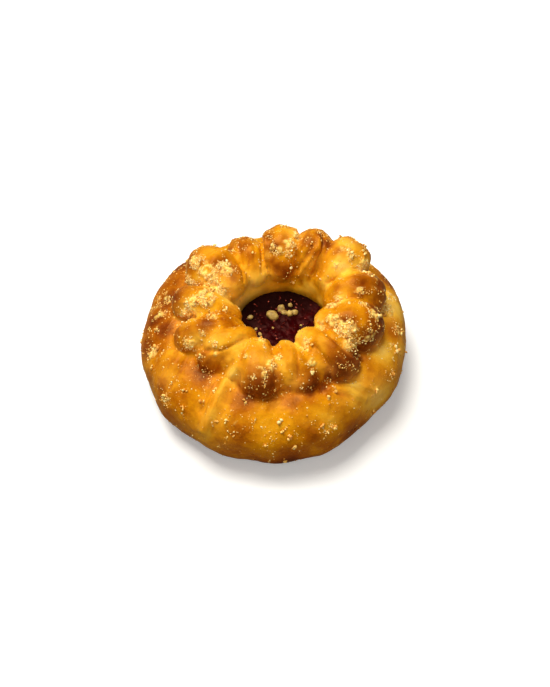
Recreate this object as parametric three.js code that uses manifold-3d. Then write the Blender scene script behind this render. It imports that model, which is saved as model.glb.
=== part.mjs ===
// A raspberry sweet bun: a low round cushion of golden dough, a crimped ring of dough knobs round its
// top, a well of dark raspberry jam in the middle, and pale crumbs baked on to the crust.
// Millimetres, +Z up. The origin is the middle of the flat underside.
import * as THREE from "three";
import { mergeVertices } from "three/addons/utils/BufferGeometryUtils.js";
import Module from "manifold-3d";

const { clamp, degToRad, euclideanModulo, lerp, radToDeg, seededRandom, smoothstep } = THREE.MathUtils;

// The cushion: a rounded side that bulges out from a flat underside.
const CUSHION = {
  flatRadius: 36,
  radius: 56.6,
  widestZ: 16.5,
  sideCurve: 0.75, // under 1, the side is fuller than half an ellipse
  riseCurve: 0.85,
};
const CUSHION_AROUND = 64;
const CUSHION_UP_SIDE = 13;

// Where the cushion is fuller or flatter than its usual radius: bearing, spread and amount.
const CUSHION_LEAN = { bearing: 160, amount: 1.9 };
const CUSHION_SWELLS = [
  { bearing: 20, spread: 36, amount: 2.8 },
  { bearing: 38, spread: 14, amount: 3.6 },
  { bearing: 147, spread: 22, amount: 2.4 },
  { bearing: 250, spread: 14, amount: -1.0 },
  { bearing: 272, spread: 10, amount: 0.9 },
  { bearing: 290, spread: 60, amount: -2.3 },
  { bearing: 320, spread: 24, amount: -1.7 },
];

// The soft folds that run down the cushion: each rises in a few degrees, then fades slowly.
const FOLD_RISE = 7;
const FOLD_TWIST = 6; // degrees that a fold turns between the cushion's middle and its top
const FOLD_SPREAD = 0.8; // how much of a fold's height also widens the cushion
const FOLDS = [
  { bearing: 8, fade: 30, height: 1.6 },
  { bearing: 48, fade: 34, height: 1.4 },
  { bearing: 92, fade: 36, height: 1.4 },
  { bearing: 135, fade: 34, height: 1.6 },
  { bearing: 175, fade: 24, height: 2.0 },
  { bearing: 206, fade: 24, height: 2.4 },
  { bearing: 235, fade: 34, height: 2.8 },
  { bearing: 283, fade: 34, height: 2.4 },
  { bearing: 328, fade: 30, height: 2.0 },
];

// The ring of dough that joins the knobs, and the blind well inside it.
const RING = { x: 0.6, y: 2.2, radius: 29.5, halfWidth: 8.5, topZ: 45 };
const RING_STEPS = 6;
const WELL = { x: 2.4, y: 0.4, radius: 20.4, floorRadius: 15.8, floorZ: 20, rimZ: 33.4 };

// The knobs of the crimped ring. Each is a bent roll of dough from the well's edge, over the crest and
// out to a rounded end: bearing of its outer end, how far its inner end is turned from that, the radii
// that it reaches inside and outside, its outer end's height and radius, and its crest's.
const KNOBS = [
  { bearing: 15, turn: 0, inner: 20, outer: 48, endZ: 40, endR: 9.4, crestZ: 52, crestR: 8.8 },
  { bearing: 42, turn: -3, inner: 22, outer: 51, endZ: 42.5, endR: 10.4, crestZ: 53.4, crestR: 9.8 },
  { bearing: 64, turn: -3, inner: 21.5, outer: 44.8, endZ: 44.4, endR: 8.2, crestZ: 54.2, crestR: 7.4 },
  { bearing: 88, turn: -2, inner: 18.5, outer: 44.8, endZ: 43, endR: 9.2, crestZ: 54.2, crestR: 9.4 },
  { bearing: 115, turn: 0, inner: 19, outer: 44.5, endZ: 39.4, endR: 8.2, crestZ: 50, crestR: 8.4 },
  { bearing: 141, turn: 2, inner: 18.5, outer: 50, endZ: 39.5, endR: 10.5, crestZ: 52, crestR: 11.5 },
  { bearing: 170, turn: 14, inner: 16, outer: 47, endZ: 38, endR: 7.8, crestZ: 50.5, crestR: 8.4 },
  { bearing: 197, turn: 6, inner: 15.8, outer: 46, endZ: 36, endR: 7.6, crestZ: 49, crestR: 7 },
  { bearing: 218, turn: 8, inner: 14.8, outer: 42, endZ: 35.5, endR: 6.8, crestZ: 48.5, crestR: 7 },
  { bearing: 256, turn: -8, inner: 15.6, outer: 42.5, endZ: 37.5, endR: 9.4, crestZ: 48.5, crestR: 8 },
  { bearing: 288, turn: -10, inner: 15.9, outer: 40.5, endZ: 35, endR: 8.9, crestZ: 47, crestR: 8.2 },
  { bearing: 316, turn: -5, inner: 13.5, outer: 43.5, endZ: 37, endR: 9.2, crestZ: 49.5, crestR: 8.6 },
  { bearing: 349, turn: -5, inner: 16.3, outer: 46.2, endZ: 39, endR: 10.8, crestZ: 52, crestR: 11.2 },
];
const KNOB_INNER_SHARE = 0.7; // the inner end's radius, as a share of the crest's
const KNOB_CAP = 50; // degrees of the sphere's polar angle that make each rounded end
const KNOB_AROUND = 14;
const KNOB_ALONG = 13;

// The jam that fills the well, with the gap that keeps the two solids apart.
const JAM = { edgeZ: 31.4, topZ: 32, lump: 0.45 };
const JAM_AROUND = 40;
const JAM_RINGS = 7;
const GAP = 0.3;

// Pale bits that lie on the jam: place from the well's middle and half length, the largest first.
const JAM_BITS = [
  { x: -4.3, y: 6.0, size: 2.1 },
  { x: -0.6, y: 9.9, size: 1.7 },
  { x: 5.2, y: 7.7, size: 1.5 },
  { x: 3.2, y: 7.0, size: 1.4 },
  { x: -14.1, y: 4.7, size: 1.4 },
  { x: 0.8, y: 7.5, size: 1.3 },
  { x: 3.4, y: 11.6, size: 1.1 },
  { x: -9.8, y: -4.3, size: 0.9 },
  { x: -11.5, y: -1.3, size: 0.8 },
  { x: -4.2, y: -0.5, size: 0.6 },
  { x: 8.0, y: 0.9, size: 0.6 },
];

// Grains are uneven: their width and height as shares of their length.
const GRAIN_WIDTH = 0.9;
const GRAIN_HEIGHT = 0.75;

// Crumbs on the crust: half lengths, how far they stand out of the dough, and their least spacing.
const CRUMBS = { count: 110, largest: 1.5, smallest: 0.8, standing: 0.25, spacing: 0.4, seed: 7 };
const CRUMB_SHRINK = 0.6; // under 1, few crumbs are large
// Each falls towards a circle inside the dough, from a slope between these degrees over the horizon.
const CRUMB_FALL = { radius: 27, z: 22, from: 60, lowest: 0, highest: 118 };
const CRUMB_LOWEST_Z = 3;
// The bearings where crumbs lie thickest, over a thin scatter everywhere.
const CRUMB_THIN = 0.25;
const CRUMB_DRIFTS = [
  { bearing: 150, spread: 45, amount: 0.9 },
  { bearing: 350, spread: 35, amount: 0.7 },
  { bearing: 250, spread: 30, amount: 0.4 },
];

const DOUGH_FINISH = { color: 0xd08a32, roughness: 0.5, metalness: 0 };
const JAM_FINISH = { color: 0x4a0a16, roughness: 0.2, metalness: 0 };

const wasm = await Module();
wasm.setup();

// A closed three.js geometry as a solid. Only positions are kept, so that shared corners merge.
function solidFrom(geometry) {
  const bare = geometry.clone();
  bare.deleteAttribute("normal");
  bare.deleteAttribute("uv");
  const merged = mergeVertices(bare);
  const corners = merged.index.array;
  const kept = [];
  for (let i = 0; i < corners.length; i += 3) {
    const [a, b, c] = corners.slice(i, i + 3);
    if (a !== b && b !== c && c !== a) kept.push(a, b, c); // at a pole, some triangles have no area
  }
  return new wasm.Manifold(
    new wasm.Mesh({
      numProp: 3,
      vertProperties: merged.attributes.position.array,
      triVerts: new Uint32Array(kept),
    }),
  );
}

// Joined solids can seal small hollows between them: only the outer body is kept, which fills them.
function joined(solids) {
  const whole = solids.reduce((sum, each) => sum.add(each));
  return whole.decompose().reduce((most, each) => (each.volume() > most.volume() ? each : most));
}

// A solid back as a geometry that a mesh can show.
function geometryFrom(solid) {
  const { vertProperties, triVerts } = solid.getMesh();
  const geometry = new THREE.BufferGeometry();
  geometry.setAttribute("position", new THREE.BufferAttribute(vertProperties, 3));
  geometry.setIndex(new THREE.BufferAttribute(triVerts, 1));
  geometry.computeVertexNormals();
  return geometry;
}

// Moves every vertex of a geometry by a function that changes the point it is given.
function reshape(geometry, change) {
  const place = geometry.attributes.position;
  const point = new THREE.Vector3();
  for (let i = 0; i < place.count; i += 1) {
    point.fromBufferAttribute(place, i);
    change(point);
    place.setXYZ(i, point.x, point.y, point.z);
  }
  return geometry;
}

// Turns a geometry made round the Y axis to stand on the Z axis.
function standUp(geometry) {
  return geometry.rotateX(Math.PI / 2);
}

// The signed angle from one bearing to another, between -180 and 180 degrees.
function bearingApart(bearing, from) {
  return euclideanModulo(bearing - from + 180, 360) - 180;
}

// A rounded swelling that is full at its own bearing and fades on both sides.
function swell(bearing, { bearing: middle, spread, amount }) {
  return amount * Math.exp(-((bearingApart(bearing, middle) / spread) ** 2));
}

function cushionRadius(bearing) {
  const lean = CUSHION_LEAN.amount * Math.cos(degToRad(bearing - CUSHION_LEAN.bearing));
  return CUSHION_SWELLS.reduce((sum, each) => sum + swell(bearing, each), CUSHION.radius + lean);
}

// How far the folds raise the cushion at a bearing; lift is -1 at the underside and 1 at the top.
function foldHeight(bearing, lift) {
  return FOLDS.reduce((sum, fold) => {
    const past = bearingApart(bearing, fold.bearing - FOLD_TWIST * lift);
    const faded = swell(Math.max(0, past), { bearing: 0, spread: fold.fade, amount: fold.height });
    return sum + smoothstep(past, -FOLD_RISE, FOLD_RISE) * faded;
  }, 0);
}

// The outline from the middle of the underside, up the side, over the ring and down the well.
function cushionProfile() {
  const { flatRadius, radius, widestZ, sideCurve, riseCurve } = CUSHION;
  const profile = [new THREE.Vector2(0, 0)];
  for (let i = 0; i <= CUSHION_UP_SIDE; i += 1) {
    const angle = lerp(-Math.PI / 2, Math.PI / 2, i / CUSHION_UP_SIDE);
    const out = Math.max(0, Math.cos(angle)) ** sideCurve;
    const rise = Math.sign(angle) * Math.abs(Math.sin(angle)) ** riseCurve;
    profile.push(new THREE.Vector2(lerp(flatRadius, radius, out), widestZ * (1 + rise)));
  }
  for (let i = 1; i < RING_STEPS; i += 1) {
    const angle = (Math.PI * i) / RING_STEPS;
    const z = lerp(WELL.rimZ, RING.topZ, Math.sin(angle));
    profile.push(new THREE.Vector2(RING.radius + RING.halfWidth * Math.cos(angle), z));
  }
  profile.push(new THREE.Vector2(WELL.radius, WELL.rimZ - 2));
  profile.push(new THREE.Vector2(WELL.floorRadius, WELL.floorZ));
  profile.push(new THREE.Vector2(0, WELL.floorZ));
  return profile;
}

function cushionSolid() {
  const { flatRadius, radius, widestZ } = CUSHION;
  const turned = standUp(new THREE.LatheGeometry(cushionProfile(), CUSHION_AROUND));
  return solidFrom(
    reshape(turned, (point) => {
      const from = Math.hypot(point.x, point.y);
      const inWell = from < RING.radius - RING.halfWidth;
      const middle = inWell ? WELL : RING;
      const moved = inWell ? point.z / WELL.floorZ : smoothstep(point.z, WELL.floorZ, WELL.rimZ);
      if (from > flatRadius && point.z < 2 * widestZ) {
        const bearing = radToDeg(Math.atan2(point.y, point.x));
        const lift = point.z / widestZ - 1;
        const fold = foldHeight(bearing, lift);
        const reach = cushionRadius(bearing) + FOLD_SPREAD * fold;
        const wider = lerp(flatRadius, reach, (from - flatRadius) / (radius - flatRadius)) / from;
        point.x *= wider;
        point.y *= wider;
        point.z += Math.max(0, lift) * fold;
      }
      point.x += Math.min(1, moved) * middle.x;
      point.y += Math.min(1, moved) * middle.y;
    }),
  );
}

// One knob: a sphere whose poles are drawn out along a curve that climbs out of the well, passes over
// the crest and drops to the outer end.
function knobSolid({ bearing, turn, inner, outer, endZ, endR, crestZ, crestR }) {
  const innerRadius = KNOB_INNER_SHARE * crestR;
  const start = new THREE.Vector2(inner + innerRadius, WELL.rimZ + innerRadius);
  const end = new THREE.Vector2(outer - endR, endZ);
  const over = new THREE.Vector2(
    (inner + outer) / 2 - 1,
    2 * (crestZ - crestR) - (start.y + end.y) / 2,
  );
  const path = new THREE.QuadraticBezierCurve(start, over, end);
  const ball = standUp(new THREE.SphereGeometry(1, KNOB_AROUND, KNOB_ALONG));
  return solidFrom(
    reshape(ball, (point) => {
      const polar = radToDeg(Math.acos(clamp(point.z, -1, 1)));
      const along = clamp((180 - KNOB_CAP - polar) / (180 - 2 * KNOB_CAP), 0, 1);
      const outerCap = Math.max(0, 1 - polar / KNOB_CAP);
      const innerCap = Math.max(0, 1 - (180 - polar) / KNOB_CAP);
      const tilt = (Math.PI / 2) * (outerCap - innerCap);
      const thick =
        along < 0.5
          ? lerp(innerRadius, crestR, along * 2)
          : lerp(crestR, endR, along * 2 - 1);
      const at = path.getPoint(along);
      const heading = path.getTangent(along);
      const round = Math.hypot(point.x, point.y) || 1;
      const sideways = (point.x / round) * thick * Math.cos(tilt);
      const across = (point.y / round) * thick * Math.cos(tilt);
      const ahead = thick * Math.sin(tilt);
      const angle = degToRad(bearing + turn * (1 - along));
      const out = at.x - heading.y * across + heading.x * ahead;
      point.x = RING.x + Math.cos(angle) * out - Math.sin(angle) * sideways;
      point.y = RING.y + Math.sin(angle) * out + Math.cos(angle) * sideways;
      point.z = at.y + heading.x * across + heading.y * ahead;
    }),
  );
}

// A small uneven grain, lying at its own angle.
function grainSolid(middle, size, spin) {
  const grain = new THREE.IcosahedronGeometry(size, 0);
  grain.scale(1, GRAIN_WIDTH, GRAIN_HEIGHT);
  grain.rotateZ(spin);
  return solidFrom(grain.translate(middle.x, middle.y, middle.z));
}

// The height of the jam's lumps over its level, between -1 and 1.
function jamLump(x, y) {
  return 0.5 * Math.sin(0.62 * x + 1.3) * Math.cos(0.55 * y - 0.4) + 0.5 * Math.sin(1.1 * y + 0.9 * x);
}

function jamSolid() {
  const radius = WELL.radius - GAP;
  const floorZ = WELL.floorZ + GAP;
  const profile = [
    new THREE.Vector2(0, floorZ),
    new THREE.Vector2(WELL.floorRadius - GAP, floorZ),
    new THREE.Vector2(radius, JAM.edgeZ),
  ];
  for (let i = 1; i <= JAM_RINGS; i += 1) {
    profile.push(new THREE.Vector2(radius * (1 - i / JAM_RINGS), JAM.topZ));
  }
  const pool = standUp(new THREE.LatheGeometry(profile, JAM_AROUND));
  reshape(pool, (point) => {
    if (point.z > JAM.edgeZ) point.z += JAM.lump * jamLump(point.x, point.y);
  });
  const bits = JAM_BITS.map(({ x, y, size }, index) => {
    const z = JAM.topZ + JAM.lump * jamLump(x, y);
    return grainSolid(new THREE.Vector3(x, y, z), size, index);
  });
  return joined([solidFrom(pool), ...bits]).translate([WELL.x, WELL.y, 0]);
}

// Whether a crumb of this size would reach the jam or the open well over it.
function overWell(middle, size) {
  const from = Math.hypot(middle.x - WELL.x, middle.y - WELL.y);
  return from < WELL.radius + size && middle.z < WELL.rimZ + 2 * size;
}

// Where crumbs have landed on the dough: points that are apart from each other, the largest first.
function crumbSpots(dough) {
  const caster = new THREE.Raycaster();
  const surface = new THREE.Mesh(geometryFrom(dough));
  const spots = [];
  seededRandom(CRUMBS.seed);
  while (spots.length < CRUMBS.count) {
    const bearing = 360 * seededRandom();
    const slope = degToRad(lerp(CRUMB_FALL.lowest, CRUMB_FALL.highest, seededRandom()));
    const drift = CRUMB_DRIFTS.reduce((sum, each) => sum + swell(bearing, each), CRUMB_THIN);
    if (seededRandom() > drift) continue;
    const outward = new THREE.Vector3(Math.cos(degToRad(bearing)), Math.sin(degToRad(bearing)), 0);
    const aim = outward.clone().multiplyScalar(CRUMB_FALL.radius).setZ(CRUMB_FALL.z);
    const back = outward.clone().multiplyScalar(Math.cos(slope)).setZ(Math.sin(slope));
    caster.set(aim.addScaledVector(back, CRUMB_FALL.from), back.negate());
    const [hit] = caster.intersectObject(surface);
    const size = lerp(CRUMBS.largest, CRUMBS.smallest, (spots.length / CRUMBS.count) ** CRUMB_SHRINK);
    const middle = hit.point.addScaledVector(hit.face.normal, CRUMBS.standing * size);
    const crowded = spots.some((other) => {
      return other.middle.distanceTo(middle) < other.size + size + CRUMBS.spacing;
    });
    if (crowded || overWell(middle, size) || middle.z < CRUMB_LOWEST_Z) continue;
    spots.push({ middle, size });
  }
  return spots;
}

function doughSolid() {
  const plain = joined([cushionSolid(), ...KNOBS.map(knobSolid)]);
  const crumbs = crumbSpots(plain).map(({ middle, size }, index) => grainSolid(middle, size, index));
  return joined([plain, ...crumbs]);
}

function piece(name, solid, finish) {
  const mesh = new THREE.Mesh(geometryFrom(solid), new THREE.MeshStandardMaterial(finish));
  mesh.name = name;
  return mesh;
}

const bun = new THREE.Group();
bun.add(piece("bun_dough", doughSolid(), DOUGH_FINISH));
bun.add(piece("raspberry_jam", jamSolid(), JAM_FINISH));

export default bun;
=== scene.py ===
"""A raspberry sweet bun: golden dough with a crimped ring of knobs round its top, dark raspberry jam in
the well, and sweet crumbs over the crust. The forms are worked out in millimetres and then scaled."""

import math

import bmesh
import bpy
import numpy as np
from mathutils import Matrix, Vector, noise
from mathutils.bvhtree import BVHTree
from mathutils.kdtree import KDTree


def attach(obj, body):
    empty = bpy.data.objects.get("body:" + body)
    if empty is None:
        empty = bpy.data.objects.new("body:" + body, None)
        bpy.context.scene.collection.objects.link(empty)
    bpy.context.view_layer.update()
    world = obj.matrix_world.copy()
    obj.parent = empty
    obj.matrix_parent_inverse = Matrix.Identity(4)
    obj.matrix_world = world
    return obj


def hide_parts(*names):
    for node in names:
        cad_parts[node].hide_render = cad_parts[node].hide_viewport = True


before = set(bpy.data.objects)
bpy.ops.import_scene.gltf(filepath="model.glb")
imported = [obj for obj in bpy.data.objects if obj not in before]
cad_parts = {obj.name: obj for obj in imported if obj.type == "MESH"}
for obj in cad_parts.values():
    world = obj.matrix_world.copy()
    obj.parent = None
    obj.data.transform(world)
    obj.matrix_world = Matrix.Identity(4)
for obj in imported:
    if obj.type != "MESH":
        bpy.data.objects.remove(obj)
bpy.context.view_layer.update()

MM = 0.001
NOISE_SPAN = 1.6  # brings noise, which hardly passes 0.6, to about 1

# The picture: its size in pixels, and the camera that looks at the bun from the front and above.
PICTURE_WIDE, PICTURE_HIGH = 550, 687
LENS, SENSOR = 70.0, 36.0
CAMERA_AIM = Vector((-0.9, -4.0, 26.0))
CAMERA_BACK = 582.0
CAMERA_RISE = 53.0

# The cushion of dough under the ring.
FLAT_RADIUS, CUSHION_RADIUS, WIDEST_Z = 36.0, 56.6, 16.5
SIDE_CURVE, RISE_CURVE = 0.75, 0.85
CUSHION_AROUND, CUSHION_UP = 168, 46
CUSHION_LEAN_AT, CUSHION_LEAN = 160, 1.9
CUSHION_SWELLS = [  # bearing, spread, amount
    (20, 36, 2.8), (38, 14, 3.6), (147, 22, 2.4), (250, 14, -1.0),
    (272, 10, 0.9), (290, 60, -2.3), (320, 24, -1.7),
]

# The soft folds down the cushion: the bearing of each steep edge, how wide it fades, and its height.
FOLD_RISE, FOLD_TWIST, FOLD_SPREAD = 7, 6, 0.8
FOLDS = [
    (8, 30, 1.6), (48, 34, 1.4), (92, 36, 1.4), (135, 34, 1.6), (175, 24, 2.0),
    (206, 24, 2.4), (235, 34, 2.8), (283, 34, 2.4), (328, 30, 2.0),
]

# The ring that joins the knobs, and the well inside it.
RING_X, RING_Y, RING_RADIUS, RING_HALF, RING_TOP = 0.6, 2.2, 29.5, 8.5, 45.0
RING_STEPS = 18
WELL_X, WELL_Y, WELL_RADIUS, WELL_FLOOR_RADIUS, WELL_FLOOR, WELL_RIM = 2.4, 0.4, 20.4, 15.8, 20.0, 33.4
WELL_WALL = [  # distance out, height
    (WELL_RADIUS, WELL_RIM - 2), (18.2, 26.0), (WELL_FLOOR_RADIUS, WELL_FLOOR),
]

# The knobs: bearing, turn, inner reach, outer reach, end height, end radius, crest height, crest radius,
# and how dark the outer end is: baked brown, and partly painted shade where the end faces away from the
# light.
KNOBS = [
    (15, 0, 20, 48, 40, 9.4, 52, 8.8, 0.6),
    (42, -3, 22, 51, 42.5, 10.4, 53.4, 9.8, 0.3),
    (64, -3, 21.5, 44.8, 44.4, 8.2, 54.2, 7.4, 0.45),
    (88, -2, 18.5, 44.8, 43, 9.2, 54.2, 9.4, 0.35),
    (115, 0, 19, 44.5, 39.4, 8.2, 50, 8.4, 0.35),
    (141, 2, 18.5, 50, 39.5, 10.5, 52, 11.5, 0.3),
    (170, 14, 16, 47, 38, 7.8, 50.5, 8.4, 0.35),
    (197, 6, 15.8, 46, 36, 7.6, 49, 7, 0.3),
    (218, 8, 14.8, 42, 35.5, 6.8, 48.5, 7, 0.45),
    (256, -8, 15.6, 42.5, 37.5, 9.4, 48.5, 8, 0.55),
    (288, -10, 15.9, 40.5, 35, 8.9, 47, 8.2, 0.45),
    (316, -5, 13.5, 43.5, 37, 9.2, 49.5, 8.6, 0.8),
    (349, -5, 16.3, 46.2, 39, 10.8, 52, 11.2, 0.7),
]
KNOB_INNER_SHARE = 0.7  # the inner end's radius, as a share of the crest's
KNOB_CAP = 50.0  # how many degrees of the ball make each rounded end
KNOB_LEAN = 1.0  # how far the crest leans towards the well
KNOB_AROUND, KNOB_ALONG = 40, 34

# Points along a knob's middle line, how many of its radii it reaches and how soon that fades, and where its
# darker outer end starts, along it and under it. That end is baked brown, with painted shade under it.
KNOB_SAMPLES = 25
KNOB_REACH, KNOB_FADE = 1.25, 0.2
END_FROM, END_UNDER = 0.6, 0.2

# The strands along a knob: how many across it and along it, and how deep. The depth of the broad ones is
# a share of the knob's radius, and the fine ones' is in millimetres.
BROAD_ACROSS, BROAD_ALONG, BROAD_DEPTH = 2.4, 1.1, 0.09
FINE_ACROSS, FINE_ALONG, FINE_DEPTH = 5.5, 1.3, 0.26

# Points this close become one. One skin over all the forms: its grain, and how often it is softened.
WELD = 1e-4
DOUGH_VOXEL = 0.72
DOUGH_SMOOTHING = 2

# Pinched lines in the dough: points of the picture, half width, and height (below zero, a crease). A line is
# laid on the dough with a point every so many pixels, where they are this many millimetres apart.
PINCH_STEP, PINCH_LEAST = 4, 0.1
PINCHES = [
    ([(266, 237), (267, 252), (268, 274)], 0.8, 1.3),
    ([(262, 238), (262, 252), (263, 272)], 0.8, -1.3),
    ([(254, 242), (255, 262)], 0.7, -0.4),
    ([(246, 242), (248, 270)], 0.7, -0.4),
    ([(238, 244), (241, 260), (244, 280)], 1.0, -0.9),
    ([(319, 235), (319, 250)], 0.9, 0.9),
    ([(324, 236), (323, 248), (318, 262), (313, 274)], 0.9, -1.1),
    ([(317, 248), (308, 262), (299, 276)], 0.9, 0.9),
    ([(312, 246), (305, 258), (294, 272)], 0.9, -0.7),
    ([(328, 283), (337, 278), (351, 274), (365, 271)], 1.1, -0.8),
    ([(318, 324), (339, 343), (361, 359)], 1.2, -1.5),
    ([(314, 346), (323, 356), (329, 367), (329, 382)], 1.2, -1.1),
    ([(296, 348), (298, 364), (299, 378)], 1.0, -0.8),
    ([(291, 350), (291, 366), (291, 378)], 1.0, 0.6),
    ([(276, 366), (279, 378), (283, 388)], 1.3, -0.7),
    ([(240, 367), (226, 382), (218, 396), (212, 410), (204, 430)], 2.4, 1.9),
    ([(232, 362), (218, 380), (208, 396), (202, 410)], 2.2, -1.3),
    ([(177, 315), (168, 328)], 0.8, 0.7),
    ([(187, 342), (176, 362), (160, 385)], 1.8, 0.8),
    ([(190, 350), (181, 370), (170, 388)], 1.4, -0.6),
    ([(330, 388), (350, 391), (365, 400)], 1.2, 0.8),
    ([(326, 393), (345, 400), (356, 410)], 1.2, 0.6),
    ([(338, 384), (356, 384), (374, 390)], 1.0, 0.6),
    ([(206, 340), (222, 336), (238, 332), (252, 329)], 2.8, 1.1),
    ([(204, 350), (218, 351), (232, 346), (244, 339)], 0.9, -1.0),
    ([(182, 318), (200, 317), (222, 318)], 1.0, -0.8),
]

# The dents and bubbles of the baked skin: height, size and seed. They fade out at the flat underside.
DENTS = [(0.42, 11.0, 1), (0.16, 4.2, 2), (0.06, 1.9, 3)]
DENTS_FADE = (0.3, 4.0)

# Browner patches of crust, some of them painted shade under and beside the knobs: a point of the picture,
# reach in millimetres, and how brown.
BROWN_AND_SHADE_PATCHES = [
    (258, 393, 5.5, 0.5), (269, 396, 5.0, 0.5), (246, 396, 5.0, 0.65), (209, 361, 4.5, 0.4),
    (215, 356, 3.5, 0.3), (202, 374, 6.0, 0.8), (176, 297, 5.0, 0.8), (178, 334, 3.0, 0.4),
    (208, 322, 5.0, 0.75), (276, 268, 4.0, 0.6), (286, 272, 4.5, 0.65), (292, 264, 4.0, 0.35),
    (271, 260, 3.0, 0.6), (285, 240, 5.0, 0.4), (272, 247, 4.0, 0.85), (269, 238, 3.5, 0.75),
    (252, 254, 3.5, 0.4), (245, 246, 4.0, 0.4), (234, 268, 4.0, 0.4), (230, 250, 3.5, 0.4),
    (327, 243, 3.2, 0.7), (321, 236, 3.0, 0.6), (308, 240, 4.0, 0.65), (311, 250, 3.5, 0.3),
    (372, 259, 5.0, 1.0), (380, 289, 4.0, 0.6), (370, 279, 4.0, 0.3), (337, 290, 3.5, 0.35),
    (379, 327, 4.0, 0.6), (369, 342, 4.0, 0.6), (362, 318, 5.0, 0.25), (349, 323, 4.5, 0.9),
    (340, 330, 3.0, 0.4), (324, 330, 3.5, 0.35), (350, 362, 5.0, 0.95), (343, 376, 5.0, 0.8),
    (333, 358, 3.0, 0.2), (360, 356, 5.0, 0.6), (316, 382, 5.0, 0.95), (311, 388, 4.5, 0.8),
    (324, 388, 4.0, 0.9), (229, 308, 3.0, 0.25), (352, 430, 9.0, 0.65), (330, 445, 7.0, 0.4),
    (292, 401, 5.0, 0.5), (172, 416, 8.0, 0.3), (181, 398, 8.0, 0.45), (190, 368, 6.0, 0.55),
    (206, 380, 5.0, 0.35), (180, 383, 6.0, 0.3), (290, 460, 9.0, 0.7), (325, 455, 8.0, 0.4),
    (260, 460, 8.0, 0.4), (232, 450, 8.0, 0.4), (257, 424, 8.0, 0.15), (245, 401, 6.0, 0.75),
    (280, 420, 8.0, 0.1), (150, 300, 8.0, 0.7), (156, 318, 8.0, 0.7), (145, 322, 7.0, 0.6),
    (166, 276, 11.0, 0.85), (148, 346, 6.0, 0.65), (168, 300, 9.0, 0.8), (180, 255, 6.0, 0.5),
    (312, 432, 6.0, 0.3), (387, 280, 5.0, 0.7), (164, 330, 6.0, 0.9), (160, 345, 7.0, 0.4),
    (178, 268, 9.0, 0.55), (198, 264, 3.0, 0.8), (224, 319, 5.0, 0.5), (319, 270, 4.0, 0.35),
    (222, 266, 5.0, 0.6), (191, 261, 4.0, 0.8), (360, 284, 6.0, 0.55), (333, 344, 4.0, 0.4),
    (315, 352, 3.0, 0.2), (370, 370, 6.0, 0.2), (366, 424, 7.0, 0.6), (149, 378, 6.0, 0.3),
    (243, 349, 4.0, 0.2), (340, 394, 5.0, 0.3), (233, 279, 3.0, 0.6), (390, 330, 6.0, 0.6),
    (331, 237, 3.0, 0.5), (211, 383, 4.0, 0.3), (315, 345, 2.5, 0.2), (355, 285, 4.0, 0.4),
    (238, 433, 9.0, 0.35), (216, 358, 6.0, 0.35), (173, 359, 5.0, 0.35), (383, 378, 6.0, 0.35),
    (344, 254, 5.0, 0.45), (174, 281, 8.0, 0.6), (181, 298, 5.0, 0.5), (186, 339, 4.0, 0.4),
    (222, 331, 4.0, 0.35), (152, 332, 5.0, 0.4), (165, 386, 5.0, 0.4), (195, 262, 4.0, 0.4),
    (186, 331, 4.0, 0.4), (356, 363, 4.0, 0.7),
]

# Paler patches, where the skin stretched, some of them painted highlights and painted light on slopes
# turned from the lamps: a point of the picture, reach in millimetres, and how pale.
PALE_AND_LIT_PATCHES = [
    (220, 390, 5.0, 0.7), (222, 402, 5.0, 0.4), (222, 290, 7.0, 1.5), (239, 300, 7.0, 1.6),
    (200, 280, 4.0, 0.6), (190, 312, 5.0, 1.7), (197, 342, 4.5, 1.1), (252, 285, 6.0, 1.3),
    (264, 279, 5.0, 1.1), (342, 265, 5.0, 1.5), (345, 252, 5.0, 0.5), (347, 241, 5.0, 1.2),
    (329, 270, 4.0, 0.5), (326, 284, 3.5, 0.9), (362, 269, 5.0, 1.9), (342, 298, 3.5, 1.0),
    (267, 255, 2.0, 0.9), (302, 272, 3.0, 0.6), (228, 334, 4.0, 0.2), (240, 344, 4.0, 0.8),
    (389, 307, 8.0, 1.4), (380, 348, 6.0, 1.5), (230, 358, 4.5, 0.5), (234, 376, 5.0, 1.4),
    (262, 345, 4.0, 0.5), (281, 365, 4.5, 0.7), (275, 343, 4.5, 1.3), (266, 361, 4.0, 1.0),
    (252, 366, 4.0, 0.4), (288, 387, 4.0, 0.6), (172, 352, 5.0, 0.3), (349, 393, 6.0, 0.5),
    (358, 396, 6.0, 0.7), (377, 397, 8.0, 1.7), (210, 417, 6.0, 0.7), (310, 288, 3.0, 0.7),
    (320, 300, 2.5, 0.6), (307, 290, 3.0, 0.5), (322, 345, 3.5, 0.3), (391, 372, 5.0, 0.4),
    (321, 366, 3.0, 0.4), (206, 434, 6.0, 0.4), (225, 446, 6.0, 0.4), (333, 422, 4.0, 0.4),
    (212, 343, 5.0, 1.1), (401, 351, 4.0, 0.8), (358, 379, 4.0, 0.9), (330, 369, 3.0, 0.8),
    (311, 324, 3.5, 1.0), (297, 338, 6.0, 1.1), (229, 301, 4.0, 1.0), (347, 346, 3.0, 0.9),
    (183, 317, 4.0, 0.9), (209, 251, 5.0, 0.3), (294, 233, 5.0, 0.9), (266, 328, 3.5, 1.3),
    (319, 322, 3.5, 1.0), (167, 378, 5.0, 0.6), (356, 384, 6.0, 1.1), (293, 382, 4.0, 0.8),
    (311, 262, 4.0, 0.6),
]

# The crust darkens towards the underside, between these heights, and is a little mottled all over.
LOW_BROWNING, LOW_CRUST = 0.55, (1.0, 13.0)
MOTTLE, MOTTLE_SIZE = 0.08, 14.0
MOST_BROWN = 1.2

# How toasted the crust is, and how much each amount written on it adds.
CRUST_TOAST = 0.4
# The crease amount darkens the crust as painted shade in the creases.
TOAST_SHARES = [("browned_and_shaded", 0.55), ("pale", -0.26), ("sunk", -0.07), ("crease_shade", 0.13), ("strands", -0.07)]

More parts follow.
